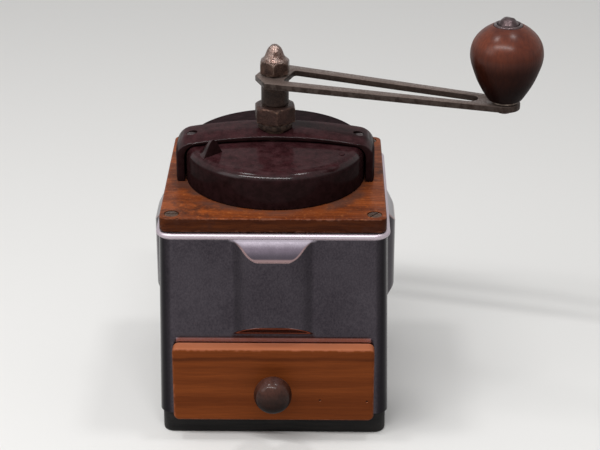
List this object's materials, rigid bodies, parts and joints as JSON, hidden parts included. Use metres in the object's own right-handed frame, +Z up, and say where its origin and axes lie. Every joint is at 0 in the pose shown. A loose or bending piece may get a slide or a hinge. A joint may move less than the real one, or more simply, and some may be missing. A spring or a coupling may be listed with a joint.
{
  "type": "manual coffee grinder",
  "caption": "Square metal box mill with wooden top and base, a drawer for the grounds, a turning half-round hopper lid and a slotted top crank with a turned knob.",
  "frame": {"origin": "on the crank's axis, on the surface that the base stands on", "axes": "+Z up along the crank shaft, -Y towards the drawer's front, +X to the right of someone who faces the drawer"},
  "size_m": [0.1918, 0.145, 0.2182],
  "materials": {
    "sheet": "polished sheet metal, dulled by age",
    "plate_wood": "varnished, worn at the edges",
    "drawer_wood": "varnished",
    "raw_wood": "bare",
    "black_wood": "painted black",
    "moulding": "dark red-brown, polished",
    "knob_wood": "varnished, red-brown",
    "worn_steel": "worn and brown",
    "brass": "worn",
    "bright_metal": "bright, dented",
    "cast_iron": "dark, machined teeth",
    "tinned_steel": "tinned"
  },
  "bodies": {
    "body": {"base_board": "black_wood", "body_shell": "sheet", "top_plate": "plate_wood", "corner_post_front_left": "raw_wood", "plate_screw_front_left": "worn_steel", "base_screw_front_left": "worn_steel", "corner_post_front_right": "raw_wood", "plate_screw_front_right": "worn_steel", "base_screw_front_right": "worn_steel", "corner_post_back_left": "raw_wood", "plate_screw_back_left": "worn_steel", "base_screw_back_left": "worn_steel", "corner_post_back_right": "raw_wood", "plate_screw_back_right": "worn_steel", "base_screw_back_right": "worn_steel", "drawer_guide_left": "raw_wood", "drawer_guide_right": "raw_wood", "hopper_hood": "moulding", "hopper_bridge": "moulding", "bridge_screw_left": "bright_metal", "bridge_screw_right": "bright_metal", "leg_screw_left": "worn_steel", "leg_screw_right": "worn_steel", "hopper_bowl": "tinned_steel", "bowl_screw_1": "worn_steel", "bowl_screw_2": "worn_steel", "bowl_screw_3": "worn_steel", "ring_burr": "cast_iron", "burr_screw_1": "worn_steel", "burr_screw_2": "worn_steel", "burr_screw_3": "worn_steel", "bearing_strap": "cast_iron", "strap_screw_left": "worn_steel", "strap_screw_right": "worn_steel", "bearing_bush": "brass", "lock_ring": "worn_steel"},
    "adjuster": {"adjusting_nut": "brass"},
    "neck": {"rising_neck": "worn_steel"},
    "crank": {"crank_shaft": "worn_steel", "cone_burr": "cast_iron", "burr_pin": "worn_steel", "crank_arm": "worn_steel", "cap_nut": "bright_metal", "knob_washer": "worn_steel", "knob_rivet": "bright_metal"},
    "handle": {"crank_knob": "knob_wood", "knob_ferrule": "bright_metal"},
    "lid": {"hopper_lid": "moulding"},
    "drawer": {"drawer_front": "drawer_wood", "drawer_side_left": "raw_wood", "drawer_side_right": "raw_wood", "drawer_back": "raw_wood", "drawer_floor": "raw_wood", "drawer_knob": "knob_wood", "drawer_screw": "worn_steel"}
  },
  "joints": [
    {"name": "adjust_turn", "type": "hinge", "parent": "body", "child": "adjuster", "pos_m": [0, 0, 0.1548], "axis": [0, 0, 1], "range_deg": [-180, 0]},
    {"name": "neck_lift", "type": "slide", "parent": "body", "child": "neck", "axis": [0, 0, 1], "range_m": [0, 0.00075]},
    {"name": "crank_turn", "type": "hinge", "parent": "neck", "child": "crank", "pos_m": [0, 0, 0.1737], "axis": [0, 0, 1], "continuous": true},
    {"name": "knob_spin", "type": "hinge", "parent": "crank", "child": "handle", "pos_m": [0.11196, -0.04031, 0.1955], "axis": [0, 0, 1], "continuous": true},
    {"name": "lid_turn", "type": "hinge", "parent": "body", "child": "lid", "pos_m": [0, 0, 0.1377], "axis": [0, 0, 1], "range_deg": [0, 128]},
    {"name": "drawer_slide", "type": "slide", "parent": "body", "child": "drawer", "axis": [0, -1, 0], "range_m": [0, 0.085]}
  ],
  "couplings": [
    {"joint": "adjust_turn", "follows": "neck_lift", "rad_per_m": -4188.8}
  ]
}
